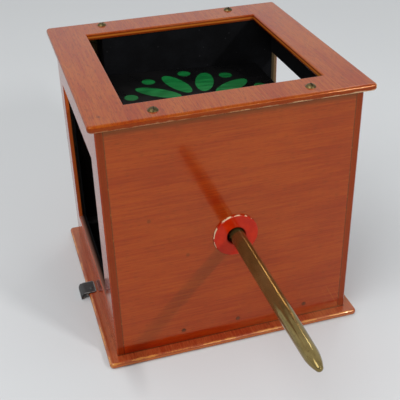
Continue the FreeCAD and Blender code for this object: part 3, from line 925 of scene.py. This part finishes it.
@dataclass(frozen=True)
class Brass:
    """Brass gone brown and olive with age.

    Attributes:
        bright: Colour of the cleanest metal.
        tarnish: Colour of the tarnish.
        stain: Colour of the spots in it.
        gloss: Roughness of clean and worn metal.
        drawn: Waves per metre of the tool marks, along each axis.
        metal: How metallic the tarnish leaves it.
    """

    bright: Colour
    tarnish: Colour
    stain: Colour
    gloss: tuple[float, float]
    drawn: Triple
    metal: float = 1.0
    stain_share: float = 0.6
    line_share: float = 0.35
    mark_depth: float = 0.02 * MM

    def material(self, name: str) -> bpy.types.Material:
        """Make the finish.

        Args:
            name: Name of the material.

        Returns:
            The material.
        """
        paint = Paint(name, metallic=self.metal)
        graph = paint.graph
        patch = graph.noise(paint.place, (45.0, 28.0, 45.0), detail=5.0, rough=0.62, warp=0.6)
        spots = graph.noise(paint.place, (420.0, 300.0, 420.0), rough=0.6)
        lines = graph.noise(paint.place, self.drawn, rough=0.6)
        paint.colour = graph.mix(graph.ramp(patch, 0.36, 0.64), self.bright, self.tarnish)
        paint.lay(self.stain, graph.ramp(spots, 0.56, 0.70, 0.0, self.stain_share))
        paint.lay(self.tarnish, graph.ramp(lines, 0.45, 0.75, 0.0, self.line_share))
        worn = graph.math("MULTIPLY_ADD", lines, 0.4, graph.math("MULTIPLY", patch, 0.6))
        paint.bump(graph.math("MULTIPLY_ADD", spots, -0.5, lines), self.mark_depth, 0.3)
        return paint.finish(roughness=graph.ramp(worn, 0.3, 0.7, *self.gloss))


ROD_BRASS = Brass(
    bright=srgb(148, 131, 83), tarnish=srgb(120, 101, 56), stain=srgb(92, 68, 36), gloss=(0.11, 0.17),
    drawn=(900.0, 10.0, 900.0), metal=0.75,
)
SCREW_BRASS = Brass(
    bright=srgb(116, 100, 66), tarnish=srgb(80, 70, 44), stain=srgb(50, 46, 32), gloss=(0.30, 0.50),
    drawn=(700.0, 700.0, 700.0),
)


@dataclass(frozen=True)
class BlackJapan:
    """Black japan lacquer on steel, rubbed to grey metal at its edges, with its tongue lightened to grey
    metal partly as wear and partly as a painted reflection.

    Attributes:
        wear_reach: Width of the rubbing along the edges.
        pit_share: How bare the pits are.
        tongue_top: Heights at which the tongue's grey, partly a painted reflection, begins to fade and is
            gone, in halves of the piece's.
        tongue_side: Places across at which the tongue's grey begins and is full, in halves of the piece's
            width.
        bare_metal: How metallic the bare steel is.
    """

    lacquer: Colour = srgb(36, 36, 37)
    rubbed: Colour = srgb(150, 150, 148)
    wear_reach: float = 1.1 * MM
    pit_share: float = 0.5
    tongue_top: tuple[float, float] = (0.1, 0.4)
    tongue_side: tuple[float, float] = (-0.45, -0.3)
    bare_metal: float = 0.7
    gloss: tuple[float, float] = (0.34, 0.52)
    pit_depth: float = 0.08 * MM

    def material(self, node: str) -> bpy.types.Material:
        """Make the finish for one piece of the hook.

        Args:
            node: CAD node of the piece.

        Returns:
            The material.
        """
        paint = Paint(f"black_japan_{node}", specular_ior_level=0.5)
        graph = paint.graph
        centre, half = node_frame(node)
        wear = paint.mask(EDGE_WEAR, centre=tuple(centre), half=tuple(half), reach=self.wear_reach)
        pits = graph.noise(paint.place, 800.0, rough=0.6)
        bare = graph.math("MAXIMUM", wear, graph.ramp(pits, 0.62, 0.72, 0.0, self.pit_share))
        across, _, height = graph.split(paint.place)
        # The tongue's grey metal is partly wear and partly a painted reflection of the floor.
        low = graph.ramp(height, *(centre.z + share * half.z for share in self.tongue_top), 1.0, 0.0)
        side = graph.ramp(across, *(centre.x + share * half.x for share in self.tongue_side))
        bare = graph.math("MAXIMUM", bare, graph.math("MULTIPLY", low, side))
        paint.colour = graph.mix(bare, self.lacquer, self.rubbed)
        paint.bump(pits, self.pit_depth, 0.6)
        return paint.finish(
            metallic=graph.math("MULTIPLY", bare, self.bare_metal),
            roughness=graph.ramp(pits, 0.3, 0.7, *self.gloss),
        )


@dataclass(frozen=True)
class DarkSteel:
    """Heads of the panel pins, sunk in varnish and gone brown."""

    varnished: Colour = srgb(104, 46, 24)
    rust: Colour = srgb(70, 32, 20)
    gloss: tuple[float, float] = (0.45, 0.7)
    pit_depth: float = 0.05 * MM

    def material(self) -> bpy.types.Material:
        """Make the finish.

        Returns:
            The material.
        """
        paint = Paint("dark_steel", specular_ior_level=0.3)
        graph = paint.graph
        pits = graph.noise(paint.place, 1200.0)
        paint.colour = graph.mix(graph.ramp(pits, 0.40, 0.65), self.varnished, self.rust)
        paint.bump(pits, self.pit_depth, 0.6)
        return paint.finish(roughness=graph.ramp(pits, 0.3, 0.7, *self.gloss))


@dataclass(frozen=True)
class BlackStain:
    """Planed softwood with a thin black stain."""

    light: Colour = srgb(30, 27, 25)
    dark: Colour = srgb(14, 13, 12)
    gloss: tuple[float, float] = (0.6, 0.8)
    grain_depth: float = 0.1 * MM

    def material(self) -> bpy.types.Material:
        """Make the finish.

        Returns:
            The material.
        """
        paint = Paint("black_stain", specular_ior_level=0.2)
        graph = paint.graph
        grain = graph.group(GRAIN.tree, place=paint.place)
        figure, pore = grain.outputs["Figure"], grain.outputs["Pore"]
        paint.colour = graph.mix(figure, self.dark, self.light)
        paint.bump(figure, self.grain_depth, 0.6)
        return paint.finish(roughness=graph.ramp(pore, 0.0, 1.0, *self.gloss))


def dress(node: str, material: bpy.types.Material) -> None:
    """Give a CAD node its finish.

    Args:
        node: Name of the node.
        material: Its finish.
    """
    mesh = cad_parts[node].data
    mesh.materials.clear()
    mesh.materials.append(material)
    LOG.info("%s has the finish %s", node, material.name)


@dataclass
class Casing:
    """The varnished boards, black linings and battens."""

    varnish: Varnish = Varnish()
    flock: Flock = Flock()
    batten: BlackStain = BlackStain()
    boards: dict[str, Board] = field(default_factory=lambda: {
        "front_panel": Board(
            Grain.ACROSS, Sheet.Y, 0.31, seam=1.0 * MM, pin_ring=2.2 * MM, eave=8.2 * MM,
        ),
        "back_panel": Board(
            # Its inner face is darkened near black as painted shade.
            Grain.ACROSS, Sheet.Y, 1.73, seam=1.0 * MM, pin_ring=2.2 * MM, eave=8.2 * MM, shaded_inside=True,
        ),
        # The left window's jamb colour is lightened as painted light.
        "left_window_panel": Board(Grain.DEEP, Sheet.X, 2.19, ior=1.35, window=srgb(188, 88, 36)),
        "right_window_panel": Board(
            Grain.DEEP, Sheet.X, 3.37, edge=srgb(122, 38, 10), ior=1.35, window=srgb(96, 80, 58),
        ),
        "top_frame": Board(
            # The light middle ply on the top's opening is a painted highlight.
            Grain.DEEP, Sheet.Z, 4.61, edge=srgb(122, 36, 6), core=srgb(222, 136, 52), ply_highlight_within=8 * MM,
            # The pale rubbing on the top's lower front edge, stronger at the right, is partly wear and partly
            # a painted glint.
            fade=0.33, pores=0.5, rub=2.3 * MM, spread=0.06, rub_and_glint_below=True, bare=srgb(250, 222, 168),
            ior=1.28,
        ),
        "base_board": Board(
            # The light middle ply on the base's cut edges is a painted highlight.
            Grain.DEEP, Sheet.Z, 5.83, edge=srgb(146, 56, 14), core=srgb(190, 104, 36), fade=0.3,
            faded=srgb(164, 97, 60), pores=0.45, rub=2.0 * MM, spread=0.1, bare=srgb(226, 156, 62),
            # The darkening along the foot of the walls on the base is painted shade.
            foot=1.6 * MM, tint=(1.0, 0.74, 0.46, 1.0),
        ),
    })
    linings: tuple[str, ...] = ("front_lining", "back_lining", "left_lining", "right_lining", "floor_lining")
    battens: tuple[str, ...] = ("front_batten", "back_batten")

    def build(self) -> None:
        """Dress every board, lining and batten."""
        for node, board in self.boards.items():
            dress(node, self.varnish.material(node, board))
        flock = self.flock.material()
        for node in self.linings:
            dress(node, flock)
        stain = self.batten.material()
        for node in self.battens:
            dress(node, stain)


@dataclass
class RodLine:
    """The rod and its two bushes."""

    brass: Brass = ROD_BRASS
    enamel: RedEnamel = RedEnamel()
    bushes: tuple[str, ...] = ("front_bush", "back_bush")

    def build(self) -> None:
        """Dress the pieces on the rod's axis."""
        for node in self.bushes:
            dress(node, self.enamel.material(node))
        dress("rod", self.brass.material("rod_brass"))


@dataclass
class Fittings:
    """The metal fittings: screws, pins, the hook and the block's sleeve."""

    brass: Brass = SCREW_BRASS
    japan: BlackJapan = BlackJapan()
    steel: DarkSteel = DarkSteel()
    brass_pieces: tuple[str, ...] = ("top_screws", "block_sleeve")
    hook_pieces: tuple[str, ...] = ("edge_hook", "edge_hook_pin")

    def build(self) -> None:
        """Dress the metal fittings."""
        brass = self.brass.material("screw_brass")
        for node in self.brass_pieces:
            dress(node, brass)
        dress("panel_pins", self.steel.material())
        for node in self.hook_pieces:
            dress(node, self.japan.material(node))


@dataclass
class Block:
    """The black block and the green rosette painted on its top."""

    black: GlossBlack = GlossBlack()
    green: GreenPaint = GreenPaint()
    walls: tuple[str, ...] = (
        "block_top", "block_bottom", "block_left", "block_right", "block_front", "block_back",
    )
    petal_count: int = 10
    petal_length: float = 36 * MM
    petal_width: float = 14 * MM
    petal_radius: float = 35 * MM
    dot_size: float = 10 * MM
    dot_radius: float = 52 * MM
    boss_size: float = 20 * MM
    paint_film: float = 0.12 * MM
    stroke_sides: int = 32

    def build(self) -> None:
        """Dress the block's walls and paint its top."""
        for node in self.walls:
            dress(node, self.black.material(node))
        self.paint_rosette()

    def top_face(self) -> Matrix:
        """Find the frame of the block's top face.

        Returns:
            The frame: the face's middle, with Z out of the face.
        """
        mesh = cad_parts["block_top"].data
        face = max(mesh.polygons, key=lambda polygon: polygon.area * polygon.normal.z)
        centre, _ = node_frame("block_top")
        origin = centre + face.normal * (face.center - centre).dot(face.normal)
        tilt = Vector((0, 0, 1)).rotation_difference(face.normal)
        return Matrix.Translation(origin) @ tilt.to_matrix().to_4x4()

    def paint_rosette(self) -> None:
        """Paint a boss, a ring of petals and the dots between them as one thin film."""
        strokes = [self.paint_stroke(self.boss_size, self.boss_size, 0.0, 0.0)]
        step = 2 * math.pi / self.petal_count
        for index in range(self.petal_count):
            turn = index * step
            strokes.append(self.paint_stroke(self.petal_length, self.petal_width, self.petal_radius, turn))
            strokes.append(self.paint_stroke(self.dot_size, self.dot_size, self.dot_radius, turn + step / 2))
        bpy.ops.object.select_all(action="DESELECT")
        for stroke in strokes:
            stroke.select_set(True)
        rosette = strokes[0]
        bpy.context.view_layer.objects.active = rosette
        bpy.ops.object.join()
        rosette.name = "block_rosette"
        rosette.data.transform(self.top_face())
        rosette.data.materials.append(self.green.material())
        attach(rosette, "block")
        LOG.info("%s painted", rosette.name)

    def paint_stroke(self, length: float, width: float, radius: float, turn: float) -> bpy.types.Object:
        """Shape one stroke from a disc, drawn out and given the film's thickness.

        Args:
            length: Length along the radius.
            width: Width across it.
            radius: Distance of its middle from the middle of the face.
            turn: Angle round the face.

        Returns:
            The stroke, in the face's own frame.
        """
        bpy.ops.object.select_all(action="DESELECT")
        bpy.ops.mesh.primitive_circle_add(vertices=self.stroke_sides, radius=0.5, fill_type="NGON")
        stroke = bpy.context.active_object
        bpy.ops.object.mode_set(mode="EDIT")
        bpy.ops.mesh.select_all(action="SELECT")
        bpy.ops.transform.resize(value=(length, width, 1.0))
        bpy.ops.mesh.extrude_region_move(TRANSFORM_OT_translate={"value": (0.0, 0.0, self.paint_film)})
        bpy.ops.mesh.select_all(action="SELECT")
        bpy.ops.transform.translate(value=(radius, 0.0, 0.0))
        bpy.ops.mesh.normals_make_consistent(inside=False)
        bpy.ops.object.mode_set(mode="OBJECT")
        stroke.data.transform(Matrix.Rotation(turn, 4, "Z"))
        return stroke


@dataclass(frozen=True)
class Lamp:
    """A rectangular lamp.

    Attributes:
        name: Its name.
        place: Its position.
        size: Its width and height.
        power: Its power in watts.
        roll: Its turn about the way that it faces.
    """

    name: str
    place: Triple
    size: tuple[float, float]
    power: float
    roll: float = 0.0

    def build(self, target: Vector) -> None:
        """Add the lamp, facing a target.

        Args:
            target: Point that it faces.
        """
        data = bpy.data.lights.new(self.name, "AREA")
        data.shape = "RECTANGLE"
        data.size, data.size_y = self.size
        data.energy = self.power
        lamp = bpy.data.objects.new(self.name, data)
        bpy.context.scene.collection.objects.link(lamp)
        lamp.location = self.place
        facing = (target - lamp.location).to_track_quat("-Z", "Y")
        lamp.rotation_euler = (facing @ Quaternion((0.0, 0.0, 1.0), self.roll)).to_euler()


@dataclass
class Studio:
    """Floor, light and camera.

    Attributes:
        floor_size: Width of the floor.
        floor_colour: Colour of its paper.
        floor_shade: Share of that colour in the paper's darker patches.
        dim_side: Strength of the world's light from the front.
        bright_side: Strength of its light from behind the object.
        world_grade: How far to the front and back the light changes.
        lamps: The lamps.
        lamp_target: Point that they face.
        camera_place: Position of the camera.
        camera_right: Direction of the picture's right.
        camera_up: Direction of the picture's top.
        lens: Focal length in millimetres.
        sensor: Width of the sensor in millimetres.
    """

    floor_size: float = 30.0
    floor_colour: Colour = srgb(213, 216, 218)
    floor_shade: float = 0.96
    dim_side: float = 0.30
    bright_side: float = 0.77
    world_grade: tuple[float, float] = (-0.9, 0.9)
    lamps: tuple[Lamp, ...] = (
        Lamp("key", (0.47, -1.60, 0.72), (0.30, 0.30), 2.5),
        Lamp("glint", (0.81, -1.31, 0.98), (0.05, 0.30), 10.0, roll=-0.89),
        Lamp("left_card", (-0.8, -0.5, 1.4), (1.1, 1.1), 13.0),
        Lamp("back_strip", (0.75, 0.90, 1.20), (0.12, 0.30), 0.8),
    )
    lamp_target: Triple = (0.0, 0.0, 0.09)
    camera_place: Triple = (-0.1413, -0.4861, 0.3822)
    camera_right: Triple = (0.9559, -0.2928, -0.0224)
    camera_up: Triple = (0.1729, 0.4996, 0.8489)
    lens: float = 69.19
    sensor: float = 36.0

    def build(self) -> None:
        """Set the stage, the light and the camera."""
        bpy.context.scene.view_settings.view_transform = "Standard"
        self.make_floor()
        self.make_world()
        for lamp in self.lamps:
            lamp.build(Vector(self.lamp_target))
        self.make_camera()

    def make_floor(self) -> None:
        """Lay a plain pale floor."""
        bpy.ops.object.select_all(action="DESELECT")
        bpy.ops.mesh.primitive_plane_add(size=self.floor_size)
        floor = bpy.context.active_object
        floor.name = "floor"
        paint = Paint("floor_paper", roughness=0.9, specular_ior_level=0.1)
        shade = tuple(channel * self.floor_shade for channel in self.floor_colour[:3]) + (1.0,)
        mottle = paint.graph.noise(paint.place, 3.0, detail=2.0)
        paint.colour = paint.graph.mix(mottle, shade, self.floor_colour)
        floor.data.materials.append(paint.finish())
        LOG.info("%s laid", floor.name)

    def make_world(self) -> None:
        """Light the object from all round: a pale wall behind it, and a dimmer room before it."""
        world = bpy.data.worlds.new("studio")
        world.use_nodes = True
        bpy.context.scene.world = world
        graph = Graph(world.node_tree)
        away = graph.split(graph.add("ShaderNodeTexCoord").outputs["Generated"])[1]
        strength = graph.ramp(away, *self.world_grade, self.dim_side, self.bright_side)
        background = world.node_tree.nodes["Background"]
        background.inputs["Color"].default_value = (1.0, 1.0, 1.0, 1.0)
        graph.feed(background.inputs["Strength"], strength)

    def make_camera(self) -> None:
        """Set the camera at the photograph's viewing angle."""
        data = bpy.data.cameras.new("camera")
        data.sensor_width = self.sensor
        data.lens = self.lens
        data.clip_start = 10 * MM
        camera = bpy.data.objects.new("camera", data)
        bpy.context.scene.collection.objects.link(camera)
        right = Vector(self.camera_right).normalized()
        back = right.cross(Vector(self.camera_up)).normalized()
        turn = Matrix((right, back.cross(right), back)).transposed()
        camera.matrix_world = Matrix.Translation(self.camera_place) @ turn.to_4x4()
        bpy.context.scene.camera = camera


def main() -> None:
    """Build the sub-assemblies in order."""
    logging.basicConfig(level=logging.INFO, format="%(name)s: %(message)s")
    for assembly in (Casing(), RodLine(), Fittings(), Block(), Studio()):
        assembly.build()
        LOG.info("%s done", type(assembly).__name__)


if __name__ == "__main__":
    main()
